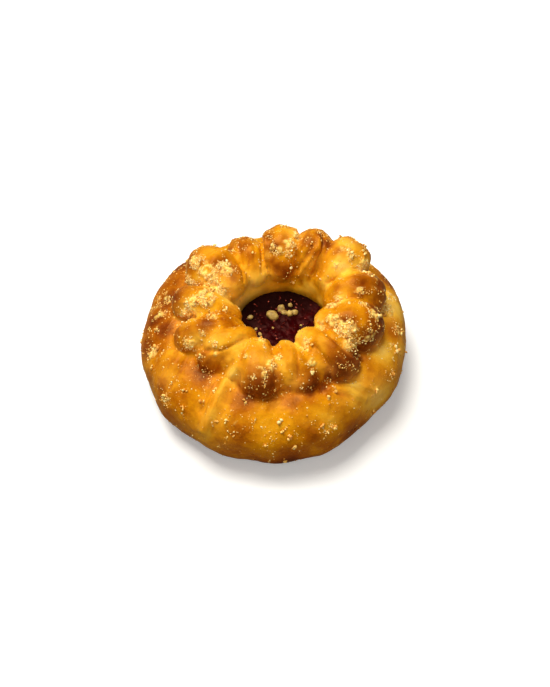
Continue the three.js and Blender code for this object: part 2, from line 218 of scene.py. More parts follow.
# Hollows and creases: how often the skin is softened to find them, and the depth that counts as a full one.
# The strands and the brown of the knobs' ends are softened too.
HOLLOW_ROUNDS, HOLLOW_DEPTH = 50, 0.6
CREASE_ROUNDS, CREASE_DEPTH = 12, 0.16
STRAND_ROUNDS, END_ROUNDS = 2, 4

# Painted shade low on the well wall, where it meets the jam: it fades out between these heights, and this
# far outside the well.
WELL_SHADE_HEIGHT, WELL_SHADE_WIDTH = (31.8, 34.8), (1, 4)

# Where crumbs drifted: a point of the picture, reach in millimetres, and how thickly.
DRIFTS = [
    (205, 270, 4.5, 0.9), (210, 280, 5.0, 1.0), (225, 268, 4.5, 0.9), (196, 262, 4.0, 0.9),
    (191, 283, 4.0, 1.0), (217, 292, 4.5, 1.0), (205, 298, 5.0, 1.0), (190, 305, 4.0, 0.9),
    (186, 315, 4.0, 1.0), (213, 315, 3.0, 0.7), (190, 345, 3.5, 0.8), (202, 335, 3.0, 0.5),
    (345, 248, 4.5, 0.5), (352, 256, 4.0, 0.6), (338, 267, 3.5, 0.45), (350, 268, 3.0, 0.3),
    (290, 243, 3.5, 0.8), (277, 250, 3.5, 0.7), (296, 236, 3.0, 0.7), (286, 255, 3.0, 0.5),
    (340, 299, 3.0, 1.0), (332, 305, 3.0, 0.8), (333, 320, 4.0, 0.8), (346, 328, 5.0, 0.9),
    (352, 342, 4.0, 0.9), (364, 305, 2.5, 0.7), (359, 292, 2.5, 0.7), (372, 290, 3.0, 0.5),
    (370, 335, 4.0, 0.6), (305, 347, 3.0, 1.0), (312, 362, 3.0, 0.7), (306, 342, 2.5, 0.8),
    (262, 340, 3.0, 0.6), (277, 358, 2.5, 0.8), (260, 370, 4.0, 0.7), (252, 378, 3.5, 0.5),
    (246, 355, 2.5, 0.6), (216, 354, 3.0, 0.4), (170, 275, 8.0, 0.2), (162, 300, 8.0, 0.45),
    (155, 330, 7.0, 0.3), (153, 355, 6.0, 0.6), (180, 255, 7.0, 0.3), (165, 400, 5.0, 0.35),
    (260, 430, 7.0, 0.3), (235, 425, 6.0, 0.3), (326, 428, 6.0, 0.35), (275, 445, 6.0, 0.3),
    (182, 392, 5.0, 0.3), (376, 392, 5.0, 0.35), (398, 350, 4.0, 0.4), (392, 375, 5.0, 0.3),
    (390, 296, 5.0, 0.5), (161, 314, 3.5, 0.8), (386, 308, 5.0, 0.8), (375, 315, 3.5, 0.8),
    (363, 267, 4.0, 1.0), (379, 347, 3.0, 0.5), (397, 330, 4.0, 0.55), (323, 325, 3.0, 0.9),
    (347, 346, 3.0, 0.8), (271, 366, 3.0, 0.8), (376, 278, 5.0, 0.45), (392, 345, 4.0, 0.4),
    (214, 345, 3.0, 0.5),
]

# Crumbs away from the drifts: on the back, thinly all over, and more on what is high and on the knobs' ends.
BACK_CRUMBS, BACK_FROM = 0.3, (10.0, 40.0)
THIN_CRUMBS, HIGH_CRUMBS, END_CRUMBS = 0.1, 0.06, 0.14
HIGH_DOUGH, FACING_UP = (3.0, 30.0), (-0.2, 0.7)
CLUSTER_SIZE, CLUSTER_BASE, CLUSTER_SWING, CLUSTER_MOST = 3.0, 0.62, 0.9, 1.3
BARE_BELOW = 2.5
WELL_BARE_OUT, WELL_BARE_UP = 2, 3  # no crumbs this far past the well's edge and over its rim

# Where a drift is thick enough to hide the crust: the size of its lumps, and how high it stands.
LUMP_SIZE, SMALL_LUMP_SIZE, SMALL_LUMPS = 2.4, 1.2, 0.6
DRIFT_BASE, DRIFT_SWING, DRIFT_EDGE, DRIFT_HEIGHT = 1.05, 0.7, (0.42, 0.85), 0.45

# The grains and clumps: how many, their least and largest half length, and how far out their middles stand,
# as a share of it. Then how strongly they keep to the drifts, and how strongly small ones prevail.
GRAINS, GRAIN_SIZE, GRAIN_STANDING = 8000, (0.16, 0.52), 0.1
CLUMPS, CLUMP_SIZE, CLUMP_STANDING = 420, (0.45, 1.3), 0.0
CLUSTERING, SMALLNESS = 2.4, 2.2
GRAIN_KINDS, GRAIN_UNEVEN, GRAIN_SQUASH = 8, (0.72, 1.22), (1.0, 0.85, 0.7)
CLUMP_GRAINS, CLUMP_SPREAD, CLUMP_SHARES = 4, 0.42, (0.45, 0.8)  # grains in each, how spread, and their size

# The larger crumbs that stand out in the picture: where, and half length.
NOTABLE_STANDING = 0.35
NOTABLE_CRUMBS = [
    (348, 252, 1.5), (353, 254, 1.3), (363, 254, 1.2), (273, 246, 1.3), (290, 253, 1.2), (294, 235, 1.4),
    (359, 291, 1.2), (156, 349, 1.6), (152, 368, 1.3), (184, 390, 1.2), (202, 401, 1.1), (182, 407, 1.0),
    (227, 422, 1.1), (280, 421, 1.2), (282, 431, 1.1), (289, 438, 1.3), (295, 446, 1.2), (322, 425, 1.1),
    (334, 427, 1.3), (326, 433, 1.0), (266, 446, 1.1), (376, 390, 1.2), (393, 374, 1.0), (373, 410, 1.1),
    (397, 349, 1.9), (307, 350, 1.1),
]

# Pale bits that lie on the jam: place from the middle of the well and half length.
JAM_BITS = [
    (-4.3, 5.6, 2.8), (-0.6, 9.9, 2.0), (0.8, 7.5, 1.5), (3.2, 7.0, 1.6), (5.2, 7.7, 1.7), (3.4, 11.6, 1.2),
    (-14.1, 4.7, 1.4), (-9.8, -4.3, 1.0), (-11.5, -1.3, 0.8), (-4.2, -0.5, 0.6), (8.0, 0.9, 0.6),
]
JAM_RADIUS, JAM_EDGE, JAM_TOP = 20.3, 31.2, 32.2
JAM_GAP = 0.3  # between the jam and the dough under it
JAM_AROUND, JAM_RINGS = 160, 44

# The jam's surface: lumps of berry, the beads that they are made of, and fine ripples, each with its size
# and height.
BERRY_SIZE, BERRY_HEIGHT = 5.0, 0.7
BEAD_SIZE, BEAD_HEIGHT = 2.6, 0.55
RIPPLE_SIZE, RIPPLE_HEIGHT = 1.2, 0.12

# The bits and seeds: how far their middles lie over the jam, as a share of their half length, how flat they
# are, and how uneven the bits are.
BIT_RAISED, BIT_SQUASH = 0.3, (1.0, 0.8, 0.6)
BIT_DENTS, BIT_ROUGH = (1.3, 0.25), (4.0, 0.06)
SEEDS, SEED_REACH, SEED_SIZE = 150, 18.5, (0.45, 0.8)
SEED_RAISED, SEED_SQUASH = 0.06, (1.0, 0.6, 0.5)

# Where the ring shades the jam: how far the edge slants, and where it fades, in metres.
SHADED_SLANT, SHADED_FROM = -0.35, (0.002, 0.012)

# The floor and the white wall round it, in millimetres, and how brightly the wall shows.
FLOOR_HALF, FLOOR_UNDER = 1500, 0.1
WALL_RADIUS, WALL_HIGH, WALL_MIDDLE = 1450, 2400, 1100
WALL_GLOW = 1.2

# The lights: name, place and size in metres, and watts. The room itself gives a little light from all round.
LAMP_COLOUR = (1.0, 0.97, 0.9)
LAMPS_AIM = Vector((0, 0, 0.02))
ROOM_LIGHT = 0.1
LAMPS = [
    ("window", (-0.22, 0.22, 0.88), 0.6, 11.7),
    ("right_fill", (0.50, -0.62, 0.60), 0.8, 2.3),
    ("left_fill", (-0.45, -0.66, 0.60), 0.8, 1.8),
]

# The floor as it shows and as it throws light back at the bun. It glows least round this point, a painted
# shadow round the bun, and more over two stretches, in metres.
FLOOR_SEEN, FLOOR_THROWN = (0.9, 0.9, 0.9, 1), (0.22, 0.17, 0.1, 1)
SHADE_MIDDLE = (0.012, -0.006, 0)
SHADE_NEAR, GLOW_NEAR = (0.056, 0.08), (0.2, 0.3)
SHADE_FAR, GLOW_FAR = (0.2, 0.7), (0.0, 0.7)


def lerp(a, b, share):
    return a + (b - a) * share


def smoothstep(value, low, high):
    share = np.clip((value - low) / (high - low), 0.0, 1.0)
    return share * share * (3 - 2 * share)


def bearing_apart(bearing, other):
    return (bearing - other + 180) % 360 - 180


def sight_line(px, py):
    """The camera's place, and the direction from it through a point of the picture."""
    rise = math.radians(CAMERA_RISE)
    back = Vector((0, -math.cos(rise), math.sin(rise)))
    right = Vector((1, 0, 0))
    up = back.cross(right)
    reach = LENS / SENSOR * PICTURE_HIGH
    line = -back + right * ((px - PICTURE_WIDE / 2) / reach) + up * ((PICTURE_HIGH / 2 - py) / reach)
    return CAMERA_AIM + back * CAMERA_BACK, line.normalized()


def piece_from(bm, name):
    """A finished piece from a form in millimetres."""
    bmesh.ops.scale(bm, vec=(MM, MM, MM), verts=bm.verts)
    mesh = bpy.data.meshes.new(name)
    bm.to_mesh(mesh)
    bm.free()
    return shown(mesh, name)


def shown(mesh, name):
    piece = bpy.data.objects.new(name, mesh)
    bpy.context.scene.collection.objects.link(piece)
    mesh.shade_smooth()
    return piece


def spun(bm, profile, steps):
    """Turns a profile of distances out and heights round the upright axis."""
    corners = [bm.verts.new((out, 0, z)) for out, z in profile]
    edges = [bm.edges.new(pair) for pair in zip(corners, corners[1:])]
    bmesh.ops.spin(bm, geom=corners + edges, axis=(0, 0, 1), angle=2 * math.pi, steps=steps, use_merge=True)
    bmesh.ops.remove_doubles(bm, verts=bm.verts, dist=WELD)


# ---- Dough ----

def cushion_radius(bearing):
    radius = CUSHION_RADIUS + CUSHION_LEAN * math.cos(math.radians(bearing - CUSHION_LEAN_AT))
    for at, spread, amount in CUSHION_SWELLS:
        radius += amount * math.exp(-(bearing_apart(bearing, at) / spread) ** 2)
    return radius


def fold_height(bearing, lift):
    height = 0.0
    for at, fade, rise in FOLDS:
        past = bearing_apart(bearing, at - FOLD_TWIST * lift)
        fading = math.exp(-(max(0.0, past) / fade) ** 2)
        height += rise * fading * float(smoothstep(past, -FOLD_RISE, FOLD_RISE))
    return height


def cushion_profile():
    profile = [(0.0, 0.0), (FLAT_RADIUS / 2, 0.0)]
    for step in range(CUSHION_UP + 1):
        angle = math.radians(lerp(-90, 90, step / CUSHION_UP))
        out = max(0.0, math.cos(angle)) ** SIDE_CURVE
        rise = math.copysign(abs(math.sin(angle)) ** RISE_CURVE, angle)
        profile.append((lerp(FLAT_RADIUS, CUSHION_RADIUS, out), WIDEST_Z * (1 + rise)))
    for step in range(1, RING_STEPS):
        angle = math.pi * step / RING_STEPS
        profile.append((RING_RADIUS + RING_HALF * math.cos(angle), lerp(WELL_RIM, RING_TOP, math.sin(angle))))
    return profile + WELL_WALL + [(0.0, WELL_FLOOR)]


def cushion_form(bm):
    spun(bm, cushion_profile(), CUSHION_AROUND)
    for vert in bm.verts:
        x, y, z = vert.co
        out = math.hypot(x, y)
        in_well = out < RING_RADIUS - RING_HALF
        share = z / WELL_FLOOR if in_well else float(smoothstep(z, WELL_FLOOR, WELL_RIM))
        if out > FLAT_RADIUS and z < 2 * WIDEST_Z:
            bearing = math.degrees(math.atan2(y, x))
            lift = z / WIDEST_Z - 1
            fold = fold_height(bearing, lift)
            reach = cushion_radius(bearing) + FOLD_SPREAD * fold
            wider = lerp(FLAT_RADIUS, reach, (out - FLAT_RADIUS) / (CUSHION_RADIUS - FLAT_RADIUS)) / out
            x, y, z = x * wider, y * wider, z + max(0.0, lift) * fold
        middle = (WELL_X, WELL_Y) if in_well else (RING_X, RING_Y)
        vert.co = (x + min(1, share) * middle[0], y + min(1, share) * middle[1], z)
    bmesh.ops.recalc_face_normals(bm, faces=bm.faces)


def knob_path(knob, along):
    """Distance out, height, thickness and heading of a knob's middle line."""
    inner, outer, end_z, end_radius, crest_z, crest_radius = knob[2:8]
    inner_radius = KNOB_INNER_SHARE * crest_radius
    start = Vector((inner + inner_radius, WELL_RIM + inner_radius))
    end = Vector((outer - end_radius, end_z))
    over = Vector(((inner + outer) / 2 - KNOB_LEAN, 2 * (crest_z - crest_radius) - (start.y + end.y) / 2))
    place = start * (1 - along) ** 2 + over * 2 * along * (1 - along) + end * along**2
    heading = ((over - start) * (1 - along) + (end - over) * along).normalized()
    if along < 0.5:
        thick = lerp(inner_radius, crest_radius, along * 2)
    else:
        thick = lerp(crest_radius, end_radius, along * 2 - 1)
    return place, thick, heading


def knob_form(bm, knob, number):
    ball = bmesh.ops.create_uvsphere(bm, u_segments=KNOB_AROUND, v_segments=KNOB_ALONG, radius=1.0)
    for vert in ball["verts"]:
        x, y, z = vert.co
        polar = math.degrees(math.acos(max(-1.0, min(1.0, z))))
        along = max(0.0, min(1.0, (180 - KNOB_CAP - polar) / (180 - 2 * KNOB_CAP)))
        tilt = math.radians(90) * (max(0, 1 - polar / KNOB_CAP) - max(0, 1 - (180 - polar) / KNOB_CAP))
        place, thick, heading = knob_path(knob, along)
        around = math.hypot(x, y) or 1.0
        side, rise = x / around, y / around
        spot = (side * BROAD_ACROSS + number * 5, rise * BROAD_ACROSS, along * BROAD_ALONG)
        strands = noise.noise(Vector(spot))
        thick *= 1 + BROAD_DEPTH * strands * math.cos(tilt)
        sideways = side * thick * math.cos(tilt)
        across = rise * thick * math.cos(tilt)
        ahead = thick * math.sin(tilt)
        angle = math.radians(knob[0] + knob[1] * (1 - along))
        out = place.x - heading.y * across + heading.x * ahead
        vert.co = (
            RING_X + math.cos(angle) * out - math.sin(angle) * sideways,
            RING_Y + math.sin(angle) * out + math.cos(angle) * sideways,
            place.y + heading.x * across + heading.y * ahead,
        )


def one_skin(bm, name):
    """Joins overlapping forms under one soft skin."""
    rough = piece_from(bm, name)
    skin = rough.modifiers.new("skin", "REMESH")
    skin.mode = "VOXEL"
    skin.voxel_size = DOUGH_VOXEL * MM
    soft = rough.modifiers.new("soft", "SMOOTH")
    soft.factor = 0.5
    soft.iterations = DOUGH_SMOOTHING
    graph = bpy.context.evaluated_depsgraph_get()
    mesh = bpy.data.meshes.new_from_object(rough.evaluated_get(graph))
    bpy.data.objects.remove(rough)
    mesh.name = name
    return shown(mesh, name)


def points_of(mesh):
    places = np.empty(len(mesh.vertices) * 3)
    mesh.vertices.foreach_get("co", places)
    return places.reshape(-1, 3) / MM


def normals_of(mesh):
    ways = np.empty(len(mesh.vertices) * 3)
    mesh.vertices.foreach_get("normal", ways)
    return ways.reshape(-1, 3)


def move_to(mesh, places):
    mesh.vertices.foreach_set("co", (places * MM).ravel())
    mesh.update()


def tree_of(mesh):
    return BVHTree.FromPolygons(points_of(mesh).tolist(), [list(face.vertices) for face in mesh.polygons])


def softened(mesh, places, rounds):
    """The same points, each drawn again and again to the middle of its neighbours."""
    edges = np.empty(len(mesh.edges) * 2, dtype=np.int64)
    mesh.edges.foreach_get("vertices", edges)
    a, b = edges.reshape(-1, 2).T
    count = len(places)
    near = np.bincount(a, minlength=count) + np.bincount(b, minlength=count)
    soft = places.copy()
    for _ in range(rounds):
        total = np.empty_like(soft)
        for axis in range(3):
            line = soft[:, axis]
            total[:, axis] = np.bincount(a, line[b], count) + np.bincount(b, line[a], count)
        soft = total / near[:, None]
    return soft


def value_noise(places, size, seed):
    """Smooth noise between about -1 and 1, with features of that size in millimetres."""
    shift = Vector((seed * 17.3, seed * 5.1, seed * 9.7))
    return np.array([noise.noise(Vector(place) / size + shift) for place in places.tolist()]) * NOISE_SPAN


def distance_to_line(places, corners):
    nearest = np.full(len(places), 1e9)
    for start, end in zip(corners, corners[1:]):
        start, end = np.array(start), np.array(end)
        way = end - start
        share = np.clip((places - start) @ way / (way @ way), 0, 1)
        nearest = np.minimum(nearest, np.linalg.norm(places - start - share[:, None] * way, axis=1))
    return nearest


def landing(tree, px, py):
    """Where a point of the picture lies on the dough and which way the dough faces there, or None twice."""
    return tree.ray_cast(*sight_line(px, py))[:2]


def along_the_dough(tree, corners):
    """A line of the picture laid on the dough, with points every few pixels."""
    laid = []
    for (ax, ay), (bx, by) in zip(corners, corners[1:]):
        steps = max(2, round(math.hypot(bx - ax, by - ay) / PINCH_STEP))
        for step in range(steps + 1):
            place, _ = landing(tree, lerp(ax, bx, step / steps), lerp(ay, by, step / steps))
            if place is not None and (not laid or (place - laid[-1]).length > PINCH_LEAST):
                laid.append(place)
    return laid


def pinch(mesh, tree):
    places, ways = points_of(mesh), normals_of(mesh)
    for corners, half, height in PINCHES:
        apart = distance_to_line(places, along_the_dough(tree, corners))
        places += ways * (height * np.exp(-(apart / half) ** 2))[:, None]
    move_to(mesh, places)


def crinkle(mesh, strands):
    """The small dents and bubbles of a baked skin, and the fine strands along the knobs."""
    places, ways = points_of(mesh), normals_of(mesh)
    dents = sum(height * value_noise(places, size, seed) for height, size, seed in DENTS)
    dents *= smoothstep(places[:, 2], *DENTS_FADE)
    dents += FINE_DEPTH * strands
    move_to(mesh, places + ways * dents[:, None])


def patches(places, tree, spots):
    """How strongly each point lies in a list of round patches."""
    amount = np.zeros(len(places))
    for px, py, reach, strength in spots:
        middle, _ = landing(tree, px, py)
        if middle is not None:
            apart = np.linalg.norm(places - np.array(middle), axis=1)
            amount = np.maximum(amount, strength * np.exp(-(apart / reach) ** 2))
    return amount


def along_knobs(places):
    """How near each point is to the outer end of a knob and under it, and the strands stretched along it."""
    samples = KDTree(len(KNOBS) * KNOB_SAMPLES)
    rows = []
    for number, knob in enumerate(KNOBS):
        for step in range(KNOB_SAMPLES):
            along = step / (KNOB_SAMPLES - 1)
            place, thick, _ = knob_path(knob, along)
            angle = math.radians(knob[0] + knob[1] * (1 - along))
            middle = (RING_X + math.cos(angle) * place.x, RING_Y + math.sin(angle) * place.x, place.y)
            samples.insert(middle, len(rows))
            rows.append((along, thick, number, (-math.sin(angle), math.cos(angle))))
    samples.balance()
    ends, strands = np.zeros(len(places)), np.zeros(len(places))
    for index, place in enumerate(places.tolist()):
        middle, row, apart = samples.find(place)
        along, thick, number, sideways = rows[row]
        out = math.hypot(place[0] - RING_X, place[1] - RING_Y)
        outside = out - math.hypot(middle[0] - RING_X, middle[1] - RING_Y)
        under = (middle[2] - place[2] + outside) / thick
        nearness = min(1.0, max(0.0, (KNOB_REACH - apart / thick) / KNOB_FADE))
        outermost = (along - END_FROM) / (1 - END_FROM) + END_UNDER * under
        ends[index] = KNOBS[number][8] * nearness * min(1.0, max(0.0, outermost))
        side = ((place[0] - middle[0]) * sideways[0] + (place[1] - middle[1]) * sideways[1]) / thick
        spot = Vector((side * FINE_ACROSS, along * FINE_ALONG, number * 7.3))
        strands[index] = NOISE_SPAN * nearness * noise.noise(spot)
    return ends, strands


def write_amount(mesh, name, values):
    """Writes an amount for each point, which a finish reads by its name."""
    layer = mesh.attributes.new(name, "FLOAT", "POINT")
    layer.data.foreach_set("value", np.asarray(values, dtype=np.float32))


def bake(mesh, tree, ends, strands):
    """Writes how brown (partly painted shade), pale (partly painted highlight), hollow and crumbed the crust
    is, and the painted shade in its creases and low on the well wall by the jam, and raises it under thick
    drifts.
    """
    places, ways = points_of(mesh), normals_of(mesh)
    sunk = np.einsum("ij,ij->i", softened(mesh, places, HOLLOW_ROUNDS) - places, ways)
    # Painted shade: the crust darkens in creases, where shade falls between the knobs.
    crease_shade = np.einsum("ij,ij->i", softened(mesh, places, CREASE_ROUNDS) - places, ways)
    low = 1 - smoothstep(places[:, 2], *LOW_CRUST)
    # The brown patches and the knobs' darker ends are partly painted shade, under and beside the knobs and on
    # ends turned from the light.
    brown_and_shade = np.maximum(patches(places, tree, BROWN_AND_SHADE_PATCHES), ends)
    brown_and_shade = np.clip(brown_and_shade + LOW_BROWNING * low + MOTTLE * value_noise(places, MOTTLE_SIZE, 5), 0, MOST_BROWN)
    write_amount(mesh, "browned_and_shaded", brown_and_shade)
    write_amount(mesh, "pale", patches(places, tree, PALE_AND_LIT_PATCHES))
    write_amount(mesh, "strands", strands)
    write_amount(mesh, "sunk", np.clip(sunk / HOLLOW_DEPTH, -1, 1))
    write_amount(mesh, "crease_shade", np.clip(crease_shade / CREASE_DEPTH, 0, 1))

    drift = patches(places, tree, DRIFTS)
    high = smoothstep(places[:, 2], *HIGH_DOUGH)
    facing_up = smoothstep(ways[:, 2], *FACING_UP)
    behind = smoothstep(places[:, 1], *BACK_FROM) * high * facing_up * BACK_CRUMBS
    thin = THIN_CRUMBS + HIGH_CRUMBS * high * facing_up + END_CRUMBS * ends * high
    clusters = np.clip(CLUSTER_BASE + CLUSTER_SWING * value_noise(places, CLUSTER_SIZE, 7), 0.0, CLUSTER_MOST)
    crumbed = np.maximum(np.maximum(drift, behind), thin) * clusters
    out = np.hypot(places[:, 0] - WELL_X, places[:, 1] - WELL_Y)
    crumbed[(out < WELL_RADIUS + WELL_BARE_OUT) & (places[:, 2] < WELL_RIM + WELL_BARE_UP)] = 0
    crumbed[places[:, 2] < BARE_BELOW] = 0
    lumps = value_noise(places, LUMP_SIZE, 9) + SMALL_LUMPS * value_noise(places, SMALL_LUMP_SIZE, 10)
    thick = smoothstep(drift * (DRIFT_BASE + DRIFT_SWING * lumps), *DRIFT_EDGE)
    move_to(mesh, places + ways * (DRIFT_HEIGHT * thick)[:, None])
    write_amount(mesh, "crumbed", np.clip(crumbed, 0, 1))
    write_amount(mesh, "frosted", thick)

    # Painted shade on the dough low in the well, next to the jam.
    beside = 1 - smoothstep(out - WELL_RADIUS, *WELL_SHADE_WIDTH)
    write_amount(mesh, "well_foot_shade", (1 - smoothstep(places[:, 2], *WELL_SHADE_HEIGHT)) * beside)


def bun_dough():
    bm = bmesh.new()
    cushion_form(bm)
    for number, knob in enumerate(KNOBS):
        knob_form(bm, knob, number)
    dough = one_skin(bm, "bun_crust")
    tree = tree_of(dough.data)
    pinch(dough.data, tree)
    ends, strands = along_knobs(points_of(dough.data))
    spread = softened(dough.data, np.column_stack((ends, strands, strands)), STRAND_ROUNDS)
    ends, strands = softened(dough.data, spread, END_ROUNDS)[:, 0], spread[:, 1]
    crinkle(dough.data, strands)
    tree = tree_of(dough.data)
    bake(dough.data, tree, ends, strands)
    return dough, tree


# ---- Crumbs ----

def grain_shapes(seed):
    """A few uneven grains to copy from."""
    draw = np.random.default_rng(seed)
    bm = bmesh.new()
    bmesh.ops.create_icosphere(bm, subdivisions=1, radius=1.0)
    corners = np.array([vert.co[:] for vert in bm.verts])
    faces = np.array([[vert.index for vert in face.verts] for face in bm.faces])
    bm.free()
    return [corners * draw.uniform(*GRAIN_UNEVEN, (len(corners), 1)) for _ in range(GRAIN_KINDS)], faces


def turned(draw):
    """A random turn, as a 3 by 3 matrix."""
    a, b, c, d = draw.normal(size=4)
    size = math.sqrt(a * a + b * b + c * c + d * d)
    a, b, c, d = a / size, b / size, c / size, d / size
    return np.array([
        [1 - 2 * (c * c + d * d), 2 * (b * c - a * d), 2 * (b * d + a * c)],
        [2 * (b * c + a * d), 1 - 2 * (b * b + d * d), 2 * (c * d - a * b)],
        [2 * (b * d - a * c), 2 * (c * d + a * b), 1 - 2 * (b * b + c * c)],
    ])


def strewn(name, spots, seed, squash=GRAIN_SQUASH):
    """One piece of many grains: each spot is a middle and a half length."""
    draw = np.random.default_rng(seed)
    shapes, faces = grain_shapes(seed)
    corners, joined_faces, tints = [], [], []
    for number, (middle, size) in enumerate(spots):
        shape = shapes[number % len(shapes)] * np.array(squash) * size
        corners.append(shape @ turned(draw).T + np.array(middle))
        joined_faces.append(faces + number * len(shape))
        tints.append(np.full(len(shape), draw.random()))
    mesh = bpy.data.meshes.new(name)
    mesh.from_pydata((np.concatenate(corners) * MM).tolist(), [], np.concatenate(joined_faces).tolist())
    mesh.update()
    write_amount(mesh, "tint", np.concatenate(tints))
    return shown(mesh, name)


def spots_on(mesh, count, seed, least_and_most, standing):
    """Places on the crust, drawn by how thickly it is crumbed."""
    draw = np.random.default_rng(seed)
    mesh.calc_loop_triangles()
    corners = np.empty(len(mesh.loop_triangles) * 3, dtype=np.int64)
    mesh.loop_triangles.foreach_get("vertices", corners)
    corners = corners.reshape(-1, 3)
    places, ways = points_of(mesh), normals_of(mesh)
    crumbed = np.empty(len(places), dtype=np.float32)
    mesh.attributes["crumbed"].data.foreach_get("value", crumbed)
    a, b, c = places[corners[:, 0]], places[corners[:, 1]], places[corners[:, 2]]
    area = np.linalg.norm(np.cross(b - a, c - a), axis=1) / 2
    chance = area * crumbed[corners].mean(axis=1) ** CLUSTERING
    picked = draw.choice(len(corners), count, p=chance / chance.sum())
    share = draw.random((count, 2))
    over = share.sum(axis=1) > 1
    share[over] = 1 - share[over]
    middles = a[picked] + share[:, :1] * (b - a)[picked] + share[:, 1:] * (c - a)[picked]
    sizes = lerp(*least_and_most, draw.random(count) ** SMALLNESS)
    middles += ways[corners[picked, 0]] * (sizes * standing)[:, None]
    return list(zip(middles, sizes))


def notable_spots(tree):
    """The middle and half length of each larger crumb."""
    spots = []
    for px, py, size in NOTABLE_CRUMBS:
        place, way = landing(tree, px, py)
        if place is not None:
            spots.append((np.array(place + way * size * NOTABLE_STANDING), size))
    return spots


def clumped(spots, seed):
    """Each spot as a few smaller grains stuck together."""
    draw = np.random.default_rng(seed)
    grains = []
    for middle, size in spots:
        for _ in range(CLUMP_GRAINS):
            place = middle + draw.normal(scale=CLUMP_SPREAD * size, size=3)
            grains.append((place, size * draw.uniform(*CLUMP_SHARES)))
    return grains


# ---- Jam ----

def jam_form():
    bm = bmesh.new()
    under = WELL_FLOOR + JAM_GAP
    profile = [(0.0, under), (WELL_FLOOR_RADIUS - JAM_GAP, under), (JAM_RADIUS, JAM_EDGE)]
    profile += [(JAM_RADIUS * (1 - step / JAM_RINGS), JAM_TOP) for step in range(1, JAM_RINGS + 1)]
    spun(bm, profile, JAM_AROUND)
    for vert in bm.verts:
        if vert.co.z > JAM_EDGE:
            vert.co.z += jam_height(vert.co.x, vert.co.y)
        vert.co += Vector((WELL_X, WELL_Y, 0))
    bmesh.ops.recalc_face_normals(bm, faces=bm.faces)
    return bm


def jam_height(x, y):
    """Lumps of berry, and the small beads that they are made of."""
    place = Vector((x, y, 0))
    berries = BERRY_HEIGHT * noise.noise(place / BERRY_SIZE)
    beads = 1 - noise.voronoi(place / BEAD_SIZE + Vector((3, 7, 1)))[0][0]
    return berries + BEAD_HEIGHT * (beads - 0.5) + RIPPLE_HEIGHT * noise.noise(place / RIPPLE_SIZE)


def on_jam(x, y, raised):
    return np.array((WELL_X + x, WELL_Y + y, JAM_TOP + jam_height(x, y) + raised))


def bit_forms():
    """Uneven flattened crumbs that lie on the jam."""
    bm = bmesh.new()
    for number, (x, y, size) in enumerate(JAM_BITS):
        turn = Matrix.Rotation(-0.5 + 1.7 * number, 4, "Z")
        lying = Matrix.Translation(on_jam(x, y, size * BIT_RAISED)) @ turn
        flat = Matrix.Diagonal([size * share for share in BIT_SQUASH] + [1.0])
        ball = bmesh.ops.create_icosphere(bm, subdivisions=3, radius=1.0, matrix=lying @ flat)
        middle = lying.translation
        for vert in ball["verts"]:
            out = vert.co - middle
            dents = noise.noise(out / size * BIT_DENTS[0] + Vector((number * 3.1, 0, 0)))
            rough = noise.noise(out / size * BIT_ROUGH[0] + Vector((0, number * 2.3, 0)))
            vert.co = middle + out * (1 + BIT_DENTS[1] * dents + BIT_ROUGH[1] * rough)
    return bm


def seed_spots():
    """The middle and half length of each seed."""
    draw = np.random.default_rng(31)
    spots = []
    for _ in range(SEEDS):
        out, angle = SEED_REACH * math.sqrt(draw.random()), draw.uniform(0, 2 * math.pi)
        size = draw.uniform(*SEED_SIZE)
        spots.append((on_jam(out * math.cos(angle), out * math.sin(angle), size * SEED_RAISED), size))
    return spots


# ---- Finishes ----

def shade(red, green, blue):
    """A colour given as it looks on screen, for a shader."""
    return tuple(((part / 255 + 0.055) / 1.055) ** 2.4 if part > 10 else part / 3294.6
                 for part in (red, green, blue)) + (1.0,)


